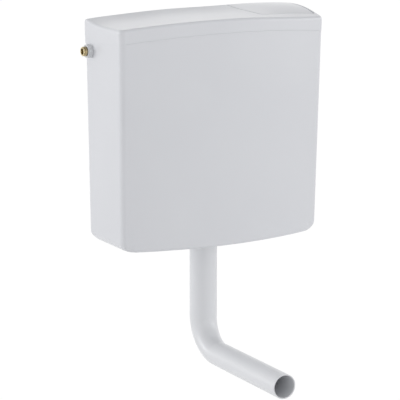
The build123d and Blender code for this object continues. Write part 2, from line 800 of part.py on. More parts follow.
# Float arm with its heel behind the plunger, and the float on its threaded rod
heel_start = plunger_end + touch_gap
arm_start = inlet_offset - arm_width / 2
arm_end = inlet_offset + arm_width / 2
rod_x = arm_pin_x + arm_length
with BuildPart() as float_arm:
    cross_ring(arm_hub_radius, 0, arm_start, arm_end, arm_pin_x, arm_pin_height)
    block(heel_start, heel_start + heel_thickness, arm_end, arm_start, arm_pin_height,
          arm_pin_height + heel_height)
    block(arm_pin_x, rod_x, inlet_offset + rod_collar_radius, inlet_offset - rod_collar_radius,
          arm_pin_height - arm_thickness / 2, arm_pin_height + arm_thickness / 2)
    ring(rod_collar_radius, 0, arm_pin_height - arm_thickness / 2,
         arm_pin_height + arm_thickness / 2, centre=(rod_x, -inlet_offset))
    ring(rod_radius + running_clearance, 0, arm_pin_height - arm_thickness,
         arm_pin_height + arm_thickness, centre=(rod_x, -inlet_offset), mode=Mode.SUBTRACT)
    cross_ring(arm_pin_radius + running_clearance, 0, arm_start, arm_end, arm_pin_x,
               arm_pin_height, mode=Mode.SUBTRACT)
finish(float_arm.part, "float_arm")

float_left = rod_x - float_width / 2
float_right = rod_x + float_width / 2
float_front = float_back_gap + float_length
with BuildPart() as float_hollow:
    block(float_left + float_wall, float_right - float_wall, float_front - float_wall,
          float_back_gap + float_wall, float_top - float_height - overrun, float_top - float_wall)
    fillet(float_hollow.edges().filter_by(Axis.Z), float_corner - float_wall)

with BuildPart() as float_block:
    block(float_left, float_right, float_front, float_back_gap, float_top - float_height, float_top)
    fillet(float_block.edges().filter_by(Axis.Z), float_corner)
    fillet(float_block.faces().sort_by(Axis.Z)[-1].edges(), float_wall / 2)
    add(float_hollow.part, mode=Mode.SUBTRACT)
    ring(rod_collar_radius, 0, float_top - float_boss, float_top - float_wall / 2,
         centre=(rod_x, -inlet_offset))
    ring(rod_radius + running_clearance, 0, float_top - 2 * float_boss, float_top + overrun,
         centre=(rod_x, -inlet_offset), mode=Mode.SUBTRACT)
finish(float_block.part, "float_block")

with BuildPart() as float_rod:
    ring(rod_radius, 0, float_top - float_boss, arm_pin_height + arm_thickness * 1.5,
         centre=(rod_x, -inlet_offset))
finish(float_rod.part, "float_rod")

with BuildPart() as rod_nut:
    ring(rod_collar_radius, rod_radius + running_clearance, arm_pin_height + arm_thickness / 2,
         arm_pin_height + arm_thickness, centre=(rod_x, -inlet_offset))
    ring(rod_collar_radius, rod_radius + running_clearance, arm_pin_height - arm_thickness,
         arm_pin_height - arm_thickness / 2, centre=(rod_x, -inlet_offset))
finish(rod_nut.part, "rod_nut")


def key_outline(low, grow, end_grow):
    """Plan of the flush key grown by a gap, as a face on the level low."""
    back = key_back - grow
    front = key_front + grow
    with BuildSketch(Plane.XY.offset(level(low))) as plan:
        with BuildLine():
            Polyline((key_left_back - grow, -back), (key_right + end_grow, -back),
                     (key_right + end_grow, -front), (key_left_front - grow, -front),
                     (key_left_back - grow, -back))
        make_face()
        fillet(plan.vertices().sort_by(Axis.Y)[0:2].sort_by(Axis.X)[0], key_corner + grow)
        fillet(plan.vertices().group_by(Axis.X)[-1], key_end_corner + grow)
    return plan.sketch


def lid_form(inset, drop):
    """Closed body of the lid's outer or inner faces."""
    with BuildPart() as form:
        add(prism_form(tank_height - seam_drop - overrun, rim_reach + 2 * overrun, inset))
        add(wave_form(tank_height - 3 * overrun, drop), mode=Mode.INTERSECT)
    return form.part


def seam_band(outer_inset, inner_inset, low, high):
    """Ring that follows the seam between two rises, with its outer and inner faces drawn in."""
    with BuildPart() as band:
        add(prism_form(tank_height - 2 * overrun, tank_height + overrun, outer_inset))
        add(prism_form(tank_height - 3 * overrun, tank_height + 2 * overrun, inner_inset),
            mode=Mode.SUBTRACT)
        add(seam_side(low, False), mode=Mode.SUBTRACT)
        add(seam_side(high, True), mode=Mode.SUBTRACT)
    return band.part


# Lid: shell that stands on the tank's rim and is centred by a skirt inside it
with BuildPart() as lid_shell:
    add(lid_form(-lid_overhang, 0))
    top_face = lid_shell.faces().sort_by(Axis.Z)[-1]
    fillet(top_face.edges(), lid_edge_radius)

skirt_inset = tank_wall + skirt_gap
left_ear = key_left_back - key_gap
right_ear = key_right + key_end_gap
ear_front = hinge_offset + hinge_ear_radius
ear_back = hinge_offset - hinge_ear_radius
ear_base = hinge_height - hinge_ear_radius
with BuildPart() as hinge_ears:
    block(left_ear - hinge_ear_thickness, left_ear, ear_front, ear_back, ear_base, rim_reach + overrun)
    block(right_ear, half_width - lid_wall + 2 * lid_overhang, ear_front, ear_back, ear_base,
          rim_reach + overrun)
    add(wave_form(tank_height - 3 * overrun, lid_wall / 2), mode=Mode.INTERSECT)

with BuildPart() as lid:
    add(lid_shell.part)
    add(lid_form(lid_wall - lid_overhang, lid_wall), mode=Mode.SUBTRACT)
    add(seam_side(seat_gap, False), mode=Mode.SUBTRACT)
    add(seam_band(lid_wall - 2 * lid_overhang, skirt_inset + skirt_thickness, seat_gap, skirt_shoulder))
    add(seam_band(skirt_inset, skirt_inset + skirt_thickness, -skirt_depth, skirt_shoulder))
    notch_outer = half_width - lid_wall
    notch_inner = half_width - skirt_inset - 2 * skirt_thickness
    for left, right in ((-notch_outer, -notch_inner), (notch_inner, notch_outer)):
        block(left, right, skirt_notch, skirt_inset + skirt_thickness,
              inlet_height - overrun, tank_height, mode=Mode.SUBTRACT)
    add(hinge_ears.part)
    opening = key_outline(key_skirt_height - overrun, key_gap, key_end_gap)
    extrude(opening, amount=4 * overrun, mode=Mode.SUBTRACT)
    side_ring(hinge_pin_radius, 0, left_ear - hinge_ear_thickness,
              half_width - lid_wall, hinge_height, offset=hinge_offset, mode=Mode.SUBTRACT)
finish(lid.part, "lid")

# Flush key: palm-sized cap in the lid, hinged at its rear end
with BuildPart() as key_cap:
    extrude(key_outline(key_skirt_height, 0, 0), amount=4 * overrun)
    add(wave_form(tank_height - 3 * overrun, 0), mode=Mode.INTERSECT)
    key_top = key_cap.faces().sort_by(Axis.Z)[-1]
    fillet(key_top.edges(), key_edge_radius)

with BuildPart() as key_hollow:
    extrude(key_outline(key_skirt_height - overrun, -key_wall, -key_wall), amount=5 * overrun)
    add(wave_form(tank_height - 4 * overrun, key_wall), mode=Mode.INTERSECT)

with BuildPart() as stud_boss:
    ring(stud_boss_radius, 0, stud_boss_height, key_skirt_height + 2 * overrun,
         centre=(stud_place, -stud_offset))
    add(wave_form(tank_height - 4 * overrun, key_wall / 2), mode=Mode.INTERSECT)

with BuildPart() as flush_key:
    add(key_cap.part)
    add(key_hollow.part, mode=Mode.SUBTRACT)
    add(stud_boss.part)
    block(0, half_width, hinge_offset - hinge_pin_radius - key_wall, -overrun,
          key_skirt_height - overrun, hinge_height, mode=Mode.SUBTRACT)
    ring(stud_radius + running_clearance, 0, stud_boss_height - overrun,
         stud_boss_height + stud_engagement, centre=(stud_place, -stud_offset), mode=Mode.SUBTRACT)
    side_ring(hinge_pin_radius + running_clearance, 0, 0, half_width, hinge_height,
              offset=hinge_offset, mode=Mode.SUBTRACT)
finish(flush_key.part, "flush_key")

# Hinge pins: two short pins, one at each end of the key
pin_reach = hinge_ear_thickness + key_gap + 2 * key_wall
with BuildPart() as key_pins:
    side_ring(hinge_pin_radius, 0, left_ear - hinge_ear_thickness,
              left_ear - hinge_ear_thickness + pin_reach, hinge_height, offset=hinge_offset)
    side_ring(hinge_pin_radius, 0, key_right - 2 * key_wall, half_width - lid_wall,
              hinge_height, offset=hinge_offset)
finish(key_pins.part, "key_pins")

# Push stud: adjustable screw under the key that presses the rocker lever
with BuildPart() as push_stud:
    ring(stud_radius, 0, stud_tip_height, stud_boss_height + stud_engagement,
         centre=(stud_place, -stud_offset))
    with Locations((stud_place, -stud_offset, level(stud_tip_height))):
        Sphere(stud_tip_radius)
finish(push_stud.part, "push_stud")

with BuildPart() as stud_nut:
    with BuildSketch(Plane.XY.offset(level(stud_boss_height - stud_nut_thickness))):
        with Locations((stud_place, -stud_offset)):
            RegularPolygon(stud_nut_flats / 2, 6, major_radius=False)
            Circle(stud_radius + running_clearance, mode=Mode.SUBTRACT)
    extrude(amount=stud_nut_thickness)
finish(stud_nut.part, "stud_nut")
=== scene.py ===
import json
import math

import bmesh
import bpy
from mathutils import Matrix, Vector

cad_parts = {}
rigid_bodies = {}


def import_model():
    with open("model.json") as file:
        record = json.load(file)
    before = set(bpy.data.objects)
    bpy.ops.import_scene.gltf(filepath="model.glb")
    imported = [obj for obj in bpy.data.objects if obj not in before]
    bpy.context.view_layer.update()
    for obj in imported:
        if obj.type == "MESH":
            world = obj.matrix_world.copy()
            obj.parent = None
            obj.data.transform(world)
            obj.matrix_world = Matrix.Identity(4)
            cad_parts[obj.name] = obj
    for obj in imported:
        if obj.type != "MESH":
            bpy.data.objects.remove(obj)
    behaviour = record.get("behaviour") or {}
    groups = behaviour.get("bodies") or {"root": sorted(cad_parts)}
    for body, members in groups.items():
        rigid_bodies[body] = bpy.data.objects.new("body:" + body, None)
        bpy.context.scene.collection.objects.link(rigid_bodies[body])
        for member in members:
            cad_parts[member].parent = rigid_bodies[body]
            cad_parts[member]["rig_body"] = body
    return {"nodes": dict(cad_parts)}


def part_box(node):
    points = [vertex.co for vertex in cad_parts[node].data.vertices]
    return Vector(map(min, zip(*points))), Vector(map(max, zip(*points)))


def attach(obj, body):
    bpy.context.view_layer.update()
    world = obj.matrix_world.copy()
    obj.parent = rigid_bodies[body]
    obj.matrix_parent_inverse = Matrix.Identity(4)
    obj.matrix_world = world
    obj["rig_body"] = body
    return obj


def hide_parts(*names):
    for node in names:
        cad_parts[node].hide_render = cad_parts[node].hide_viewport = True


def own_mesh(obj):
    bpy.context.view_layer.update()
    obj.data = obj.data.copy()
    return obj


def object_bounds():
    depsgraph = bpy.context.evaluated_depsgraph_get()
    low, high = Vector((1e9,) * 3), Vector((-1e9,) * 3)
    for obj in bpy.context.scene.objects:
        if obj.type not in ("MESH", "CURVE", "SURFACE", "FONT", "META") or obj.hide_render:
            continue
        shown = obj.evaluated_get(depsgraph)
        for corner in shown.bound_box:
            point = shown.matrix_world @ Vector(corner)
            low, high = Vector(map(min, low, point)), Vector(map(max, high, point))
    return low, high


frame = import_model()
cad_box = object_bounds()
scene = bpy.context.scene

# Camera: a long lens from the left, above and in front of the cistern, as in the photograph.
# It looks down a little, so that the lid's top shows as a narrow band above the bowed front.
CAMERA_PLACE = Vector((-1.7358, -3.15306, 0.519225))
CAMERA_YAW = math.radians(29.204)
CAMERA_PITCH = math.radians(-12.119)
LENS = 180.48
SENSOR = 36.0
VIEW_END = 50.0

camera_data = bpy.data.cameras.new("photo_view")
camera_data.lens = LENS
camera_data.sensor_width = SENSOR
camera_data.clip_end = VIEW_END
camera = bpy.data.objects.new("photo_view", camera_data)
camera.location = CAMERA_PLACE
camera.rotation_euler = (math.pi / 2 + CAMERA_PITCH, 0, -CAMERA_YAW)
scene.collection.objects.link(camera)
scene.camera = camera
scene.view_settings.view_transform = "Standard"


# Tank: white moulded shell with a bowed front, which hangs on two wall screws. It is taken over
# from the construction and gets the small radii that a mould leaves along every edge. Its finish
# is built up from shader nodes, and sums on their values are written as plain Python.
class Level:
    """A value, colour or shape on its way through the nodes, which can be added, multiplied and so on."""

    def __init__(self, bench, socket):
        self.bench = bench
        self.socket = socket

    def sum(self, operation, first, second):
        return self.bench.node("ShaderNodeMath", {"operation": operation}, {0: first, 1: second})

    def __add__(self, other):
        return self.sum("ADD", self, other)

    def __radd__(self, other):
        return self.sum("ADD", other, self)

    def __sub__(self, other):
        return self.sum("SUBTRACT", self, other)

    def __rsub__(self, other):
        return self.sum("SUBTRACT", other, self)

    def __mul__(self, other):
        return self.sum("MULTIPLY", self, other)

    def __rmul__(self, other):
        return self.sum("MULTIPLY", other, self)

    def __truediv__(self, other):
        return self.sum("DIVIDE", self, other)

    def __rtruediv__(self, other):
        return self.sum("DIVIDE", other, self)


class Bench:
    """A tree of nodes in the making."""

    def __init__(self, tree):
        self.tree = tree

    def feed(self, socket, value):
        if isinstance(value, Level):
            self.tree.links.new(value.socket, socket)
        else:
            socket.default_value = value

    def node(self, kind, settings=None, sockets=None, out=0):
        made = self.tree.nodes.new(kind)
        for name, value in (settings or {}).items():
            if name == "stops":
                for element, (position, shade) in zip(made.color_ramp.elements, value):
                    element.position = position
                    element.color = (shade, shade, shade, 1)
            else:
                setattr(made, name, value)
        for key, value in (sockets or {}).items():
            self.feed(made.inputs[key], value)
        return Level(self, made.outputs[out])


class Finish(Bench):
    """A material being made for one kind of surface."""

    def __init__(self, name):
        self.material = bpy.data.materials.new(name)
        self.material.use_nodes = True
        super().__init__(self.material.node_tree)
        self.surface = self.tree.nodes["Principled BSDF"]
        self.place = self.node("ShaderNodeTexCoord", out="Object")

    def noise(self, size, detail=2.0, stretch=(1, 1, 1)):
        """Soft noise whose blotches are about size metres across."""
        spread = self.node("ShaderNodeMapping", None, {"Vector": self.place, "Scale": stretch})
        sockets = {"Vector": spread, "Scale": 1 / size, "Detail": detail}
        return self.node("ShaderNodeTexNoise", None, sockets)

    def ramp(self, value, low, high):
        """Nought up to low, one from high on."""
        return self.node("ShaderNodeValToRGB", {"stops": ((low, 0.0), (high, 1.0))}, {"Fac": value})

    def blend(self, first, second, share):
        sockets = {"Factor": share, 6: (*first, 1), 7: (*second, 1)}
        return self.node("ShaderNodeMix", {"data_type": "RGBA"}, sockets, out=2)

    def complete(self, colour, roughness, bump=None, depth=0.0, metallic=0.0):
        self.feed(self.surface.inputs["Base Color"], colour)
        self.feed(self.surface.inputs["Roughness"], roughness)
        self.feed(self.surface.inputs["Metallic"], metallic)
        if bump is not None:
            sockets = {"Height": bump, "Distance": depth, "Strength": 1.0}
            self.feed(self.surface.inputs["Normal"], self.node("ShaderNodeBump", None, sockets))
        return self.material


MM = 0.001
DRIFT_SIZE = 120 * MM
FLECK_SIZE = 1.2 * MM
FLECK_DEPTH = 0.02 * MM
DRIFT_SHARE = 0.7
DRIFT_DULLING = 0.08
FLECK_DULLING = 0.04


def moulded_plastic(name, deep, pale, roughness):
    """Injection-moulded plastic: slow drifts of tone and gloss under a very fine skin."""
    made = Finish(name)
    drift = made.noise(DRIFT_SIZE)
    fleck = made.noise(FLECK_SIZE, detail=3.0)
    tone = made.blend(deep, pale, drift * DRIFT_SHARE + fleck * (1 - DRIFT_SHARE))
    dullness = roughness + drift * DRIFT_DULLING + fleck * FLECK_DULLING
    return made.complete(tone, dullness, bump=fleck, depth=FLECK_DEPTH)


def dress(piece, finish, node):
    """Settles a piece's modifiers, gives it its finish, and lets it stand for its CAD node."""
    settled = piece.evaluated_get(bpy.context.evaluated_depsgraph_get())
    mesh = bpy.data.meshes.new_from_object(settled)
    piece.modifiers.clear()
    piece.data = mesh
    mesh.materials.clear()
    mesh.materials.append(finish)
    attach(piece, frame["nodes"][node]["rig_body"])
    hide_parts(node)


CREASE_ANGLE = math.radians(32)
EDGE_STEPS = 2


def soften(piece, radius):
    """Small radii along a piece's sharp edges, with even shading beside them."""
    piece.data.shade_smooth()
    piece.data.set_sharp_from_angle(angle=CREASE_ANGLE)
    edge = piece.modifiers.new("edge", "BEVEL")
    edge.width = radius
    edge.segments = EDGE_STEPS
    edge.limit_method = "ANGLE"
    edge.angle_limit = CREASE_ANGLE
    edge.use_clamp_overlap = True
    edge.miter_outer = "MITER_ARC"
    even = piece.modifiers.new("even", "WEIGHTED_NORMAL")
    even.keep_sharp = True


MERGE_REACH = 0.002 * MM
FLAT_ANGLE = math.radians(0.3)


def moulding(node, finish, radius, settle=0.0, shape=None):
    """A piece with the shape of a CAD node, smooth skins and small radii along its edges."""
    mesh = frame["nodes"][node].data.copy()
    mesh.name = node + "_skin"
    work = bmesh.new()
    work.from_mesh(mesh)
    bmesh.ops.remove_doubles(work, verts=work.verts, dist=MERGE_REACH)
    bmesh.ops.dissolve_limit(work, angle_limit=FLAT_ANGLE, verts=work.verts, edges=work.edges)
    bmesh.ops.translate(work, verts=work.verts, vec=(0, 0, -settle))
    if shape:
        shape(work)
    work.to_mesh(mesh)
    work.free()
    piece = bpy.data.objects.new(node + "_moulding", mesh)
    scene.collection.objects.link(piece)
    soften(piece, radius)
    dress(piece, finish, node)


# The tank's floor turns up into its two sides with a wide rounding, and the liner follows it. Both
# skins are cut at close steps there and then drawn in towards the rounding's centre. The tuck lets
# the rounding follow the tank's front corners.
TANK_WIDTH = 408 * MM
TANK_HEIGHT = 366 * MM
SIDE_DRAFT = 5 * MM
FLOOR_ROUND = 18 * MM
FLOOR_EDGE = 5 * MM
CORNER_ROUND = 12 * MM
CORNER_START = 117.2 * MM
CORNER_REACH = 11.3 * MM
CUT_REACH = 28 * MM
CUT_STEP = 2 * MM
CUT_SNAP = 0.01 * MM
floor_half = TANK_WIDTH / 2 - SIDE_DRAFT
side_lean = SIDE_DRAFT / TANK_HEIGHT
tank_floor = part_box("tank")[0][2]


def drawn_in(aside, below):
    """Share by which a point comes in, when the floor's small edge radius grows to the wide one."""
    reach = math.hypot(aside, below)
    wide = max(aside, below) / reach
    narrow = min(aside, below) / reach
    middle = FLOOR_ROUND - FLOOR_EDGE
    if narrow * FLOOR_ROUND <= wide * middle:
        return 1 - wide
    edge = middle * (wide + narrow) + math.sqrt(FLOOR_EDGE**2 - (middle * (wide - narrow)) ** 2)
    return 1 - FLOOR_ROUND / edge


def floor_rounding(work):
    """Cuts a skin level and upright near its lower side edges, and draws its points in there."""
    for step in range(round(CUT_REACH / CUT_STEP)):
        reach = step * CUT_STEP
        cuts = (((0, 0, tank_floor + reach), (0, 0, 1)),
                ((reach - floor_half, 0, 0), (1, 0, 0)),
                ((floor_half - reach, 0, 0), (1, 0, 0)))
        for place, way in cuts:
            everything = work.verts[:] + work.edges[:] + work.faces[:]
            bmesh.ops.bisect_plane(work, geom=everything, dist=CUT_SNAP, plane_co=place, plane_no=way)
    for vert in work.verts:
        rise = vert.co.z - tank_floor
        turn = min(max(-vert.co.y - CORNER_START, 0), CORNER_REACH)
        tuck = CORNER_ROUND - math.sqrt(CORNER_ROUND**2 - turn**2)
        aside = abs(vert.co.x) - floor_half - side_lean * rise + tuck + FLOOR_ROUND
        below = FLOOR_ROUND - rise
        if aside > 0 and below > 0:
            share = drawn_in(aside, below)
            vert.co.x -= math.copysign(aside * share, vert.co.x)
            vert.co.z += below * share


white_plastic = moulded_plastic("white_plastic", deep=(0.655, 0.665, 0.70), pale=(0.70, 0.71, 0.74),
                                roughness=0.24)
moulding("tank", white_plastic, radius=0.2 * MM, shape=floor_rounding)

# Insulating liner: a tray of expanded foam inside the tank. Its beads show as pale cells with
# slightly darker joints.
BEAD = 3.5 * MM
JOINT_SHARE = 0.14
JOINT_DEPTH = 0.15 * MM
JOINT_TONE = (0.62, 0.62, 0.63)
BEAD_TONE = (0.80, 0.80, 0.81)
FOAM_ROUGHNESS = 0.75
foam_finish = Finish("bead_foam")
from_joint = foam_finish.node("ShaderNodeTexVoronoi", {"feature": "DISTANCE_TO_EDGE"},
                              {"Vector": foam_finish.place, "Scale": 1 / BEAD})
on_bead = foam_finish.ramp(from_joint, 0.0, JOINT_SHARE)
foam_tone = foam_finish.blend(JOINT_TONE, BEAD_TONE, on_bead)
bead_foam = foam_finish.complete(foam_tone, FOAM_ROUGHNESS, bump=on_bead, depth=JOINT_DEPTH)
moulding("insulation_liner", bead_foam, radius=0.8 * MM, shape=floor_rounding)

# Outlet base and its two nuts: satin white mouldings that clamp the valve's seat in the tank's
# well and hold the flush bend below it. Black rubber washers seal them.
RUBBER_GRAIN = 0.9 * MM
RUBBER_DEPTH = 0.02 * MM
RUBBER_DEEP = (0.012, 0.012, 0.013)
RUBBER_PALE = (0.030, 0.030, 0.032)
RUBBER_ROUGHNESS = 0.55
RUBBER_DULLING = 0.2
pale_fitting = moulded_plastic("pale_fitting", deep=(0.62, 0.63, 0.65), pale=(0.68, 0.69, 0.71),
                               roughness=0.42)
for node in ("outlet_base", "back_nut", "pipe_nut"):
    moulding(node, pale_fitting, radius=0.3 * MM)

rubber_finish = Finish("black_rubber")
rubber_grain = rubber_finish.noise(RUBBER_GRAIN, detail=4.0)
rubber_tone = rubber_finish.blend(RUBBER_DEEP, RUBBER_PALE, rubber_grain)
rubber_dullness = RUBBER_ROUGHNESS + rubber_grain * RUBBER_DULLING
black_rubber = rubber_finish.complete(rubber_tone, rubber_dullness, rubber_grain, RUBBER_DEPTH)
for node in ("base_seal", "pipe_seal", "valve_seal", "inlet_seal", "plug_washer", "diaphragm"):
    moulding(node, black_rubber, radius=0.2 * MM)

# Flush bend: thin white pipe that turns forwards below the tank and narrows to its spigot in the
# turn. Its wall is drawn as rings along the pipe, out along the outside and back along the bore.
PIPE_RADIUS = 25 * MM
SPIGOT_RADIUS = 22 * MM
PIPE_WALL = 2 * MM
TURN_RADIUS = 60 * MM
PIPE_SIDES = 128
TURN_STEPS = 40
low, high = map(Vector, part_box("flush_bend"))
pipe_back = high.y - PIPE_RADIUS
leg_level = low.z + SPIGOT_RADIUS


def joined_rings(name, rings, closed=False):
    """Object with faces between one ring of points and the next. A ring may be a single point."""
    work = bmesh.new()
    made = [[work.verts.new(point) for point in ring] for ring in rings]
    pairs = list(zip(made, made[1:]))
    if closed:
        pairs.append((made[-1], made[0]))
    for first, second in pairs:
        sides = max(len(first), len(second))
        for side in range(sides):
            after = (side + 1) % sides
            corners = [first[side % len(first)], first[after % len(first)],
                       second[after % len(second)], second[side % len(second)]]
            work.faces.new(list(dict.fromkeys(corners)))
    bmesh.ops.recalc_face_normals(work, faces=work.faces)
    mesh = bpy.data.meshes.new(name)
    work.to_mesh(mesh)
    work.free()
    piece = bpy.data.objects.new(name, mesh)
    scene.collection.objects.link(piece)
    return piece


def pipe_ring(share, radius):
    """Ring about the pipe's line in the turn: share is nought where it starts and one where it ends."""
    angle = share * math.pi / 2
    heart = Vector((0, pipe_back - TURN_RADIUS, leg_level + TURN_RADIUS))
    outward = Vector((0, math.cos(angle), -math.sin(angle)))
    centre = heart + outward * TURN_RADIUS
    turns = [2 * math.pi * side / PIPE_SIDES for side in range(PIPE_SIDES)]
    return [centre + outward * math.cos(turn) * radius + Vector((math.sin(turn) * radius, 0, 0))
            for turn in turns]


def pipe_rings(inset):
    """Rings from the pipe's top to its spigot, with the radius drawn in by inset."""
    rings = []
    for step in range(TURN_STEPS + 1):
        share = step / TURN_STEPS
        radius = PIPE_RADIUS - inset + (SPIGOT_RADIUS - PIPE_RADIUS) * share
        rings.append(pipe_ring(share, radius))
    rise = Vector((0, 0, high.z - leg_level - TURN_RADIUS))
    run = Vector((0, low.y - pipe_back + TURN_RADIUS, 0))
    return [[point + rise for point in rings[0]]] + rings + [[point + run for point in rings[-1]]]


pipe_plastic = moulded_plastic("pipe_plastic", deep=(0.70, 0.71, 0.735), pale=(0.745, 0.755, 0.78),
                               roughness=0.30)
bend = joined_rings("flush_bend_pipe", pipe_rings(0) + pipe_rings(PIPE_WALL)[::-1], closed=True)
soften(bend, 0.4 * MM)
dress(bend, pipe_plastic, "flush_bend")

# Flush valve: a windowed basket of white plastic on the base, and in it the grey lift tube with its
# disc and its trapped-air float. A blue stirrup is clipped round the tube's top.
grey_fitting = moulded_plastic("grey_fitting", deep=(0.42, 0.44, 0.47), pale=(0.48, 0.50, 0.53),
                               roughness=0.45)
blue_fitting = moulded_plastic("blue_fitting", deep=(0.03, 0.10, 0.30), pale=(0.05, 0.14, 0.38),
                               roughness=0.40)
moulding("valve_basket", pale_fitting, radius=0.3 * MM)
for node in ("lift_tube", "valve_disc", "valve_float"):
    moulding(node, grey_fitting, radius=0.3 * MM)
moulding("lift_hook", blue_fitting, radius=0.4 * MM)

# Rocker lever: blue plastic on a steel pin between the bridge's cheeks. The key's stud presses its
# short arm, and a small coil of steel wire under that arm brings it back.
STEEL_LINE = 0.4 * MM
STEEL_STRETCH = (0.1, 1, 1)
STEEL_DEEP = (0.45, 0.46, 0.48)
STEEL_PALE = (0.62, 0.63, 0.65)
STEEL_ROUGHNESS = 0.22
STEEL_DULLING = 0.15
steel_finish = Finish("drawn_steel")
steel_lines = steel_finish.noise(STEEL_LINE, stretch=STEEL_STRETCH)
steel_tone = steel_finish.blend(STEEL_DEEP, STEEL_PALE, steel_lines)
steel_dullness = STEEL_ROUGHNESS + steel_lines * STEEL_DULLING
drawn_steel = steel_finish.complete(steel_tone, steel_dullness, metallic=1.0)
moulding("bridge", pale_fitting, radius=0.4 * MM)
moulding("rocker_lever", blue_fitting, radius=0.5 * MM)
moulding("lever_pin", drawn_steel, radius=0.2 * MM)


# Return spring: open coil of drawn steel wire with four turns. It stands on the bridge's table
# under the lever's short arm, which presses on it as it goes down.
class Pattern(Bench):
    """A tree of geometry nodes in the making, with named sizes."""

    def __init__(self, name, sizes):
        super().__init__(bpy.data.node_groups.new(name, "GeometryNodeTree"))
        sockets = self.tree.interface
        sockets.new_socket("Geometry", in_out="OUTPUT", socket_type="NodeSocketGeometry")
        sockets.new_socket("Geometry", in_out="INPUT", socket_type="NodeSocketGeometry")
        for size, value in sizes.items():
            kind = "NodeSocketVector" if isinstance(value, Vector) else "NodeSocketFloat"
            sockets.new_socket(size, in_out="INPUT", socket_type=kind).default_value = value
        self.entry = self.tree.nodes.new("NodeGroupInput")

    def size(self, name):
        return Level(self, self.entry.outputs[name])

    def close(self, *shapes):
        """Joins the shapes, makes them real and gives them the finish."""
        together = self.tree.nodes.new("GeometryNodeJoinGeometry")
        for shape in shapes:
            self.tree.links.new(shape.socket, together.inputs[0])
        real = self.node("GeometryNodeRealizeInstances", None, {0: Level(self, together.outputs[0])})
        self.coat = self.tree.nodes.new("GeometryNodeSetMaterial")
        self.feed(self.coat.inputs["Geometry"], real)
        self.tree.links.new(self.coat.outputs[0], self.tree.nodes.new("NodeGroupOutput").inputs[0])

    def apply(self, piece, finish, **sizes):
        """Puts the pattern on a piece, with its sizes set by name."""
        self.coat.inputs["Material"].default_value = finish
        work = piece.modifiers.new("pattern", "NODES")
        work.node_group = self.tree
        for item in self.tree.interface.items_tree:
            if item.in_out == "INPUT" and item.name in sizes:
                work[item.identifier] = sizes[item.name]


def foot_of(low, high):
    """Middle of a box's underside."""
    return Vector(((low.x + high.x) / 2, (low.y + high.y) / 2, low.z))


UP = Vector((0, 0, 1))
SPRING_TURNS = 4.0
WIRE_RADIUS = 0.5 * MM
WIRE_SIDES = 16
STEPS_PER_TURN = 48
low, high = map(Vector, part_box("return_spring"))
coil = Pattern("coil", {"Reach": 1.0, "Rise": 1.0, "Wire": 1.0, "Turns": 1.0, "Foot": Vector((0, 0, 0))})
spiral = coil.node("GeometryNodeCurveSpiral", None,
                   {"Resolution": STEPS_PER_TURN, "Rotations": coil.size("Turns"),
                    "Start Radius": coil.size("Reach"), "End Radius": coil.size("Reach"),
                    "Height": coil.size("Rise")})
wire_section = coil.node("GeometryNodeCurvePrimitiveCircle", None,
                         {"Resolution": WIRE_SIDES, "Radius": coil.size("Wire")})
wire = coil.node("GeometryNodeCurveToMesh", None,
                 {"Curve": spiral, "Profile Curve": wire_section, "Fill Caps": True})
coil.close(coil.node("GeometryNodeTransform", None, {"Geometry": wire, "Translation": coil.size("Foot")}))
spring = bpy.data.objects.new("return_spring_wire", bpy.data.meshes.new("return_spring_wire"))
scene.collection.objects.link(spring)
spring_reach = (high.x - low.x) / 2 - WIRE_RADIUS
spring_rise = high.z - low.z - 2 * WIRE_RADIUS
coil.apply(spring, drawn_steel, Reach=spring_reach, Rise=spring_rise, Wire=WIRE_RADIUS,
           Turns=SPRING_TURNS, Foot=tuple(foot_of(low, high) + UP * WIRE_RADIUS))
dress(spring, drawn_steel, "return_spring")
spring.data.shade_smooth()
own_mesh(spring)

# Inlet: turned brass stub with a G3/8 thread, clamped through the left wall by a white plastic nut.
# A sieve sits in its bore. The unused hole on the right has a plug with a rubber washer.
RIGHT = Vector((1, 0, 0))
THREAD_PITCH = 1.337 * MM
THREAD_RADIUS = 8.33 * MM
ROOT_RADIUS = 7.475 * MM
BORE_RADIUS = 5.5 * MM
FLANGE_RADIUS = 12 * MM
FLANGE_THICKNESS = 4 * MM
TAIL_LENGTH = 11 * MM
RELIEF = 0.8 * MM
RUN_OUT = 0.7 * MM
TURNED_SIDES = 96
TARNISH_SIZE = 4 * MM
TOOL_LINE = 0.25 * MM
TOOL_STRETCH = (1, 0.05, 0.05)
TOOL_DEPTH = 0.01 * MM
BRASS_DEEP = (0.46, 0.37, 0.20)
BRASS_PALE = (0.72, 0.62, 0.40)
BRASS_ROUGHNESS = 0.2
BRASS_DULLING = 0.2
brass_finish = Finish("turned_brass")
tarnish = brass_finish.noise(TARNISH_SIZE, detail=4.0)
tool_lines = brass_finish.noise(TOOL_LINE, stretch=TOOL_STRETCH)
brass_tone = brass_finish.blend(BRASS_DEEP, BRASS_PALE, tarnish)
brass_dullness = BRASS_ROUGHNESS + tarnish * BRASS_DULLING
turned_brass = brass_finish.complete(brass_tone, brass_dullness, tool_lines, TOOL_DEPTH, metallic=1.0)


def turned(name, start, along, line, closed=False):
    """Piece turned on a lathe. The line holds pairs of distance along the axis and radius."""
    turn = UP.rotation_difference(along).to_matrix()
    rings = []
    for distance, radius in line:
        sides = TURNED_SIDES if radius else 1
        angles = [2 * math.pi * side / sides for side in range(sides)]
        rings.append([start + turn @ Vector((radius * math.cos(angle), radius * math.sin(angle), distance))
                      for angle in angles])
    return joined_rings(name, rings, closed)


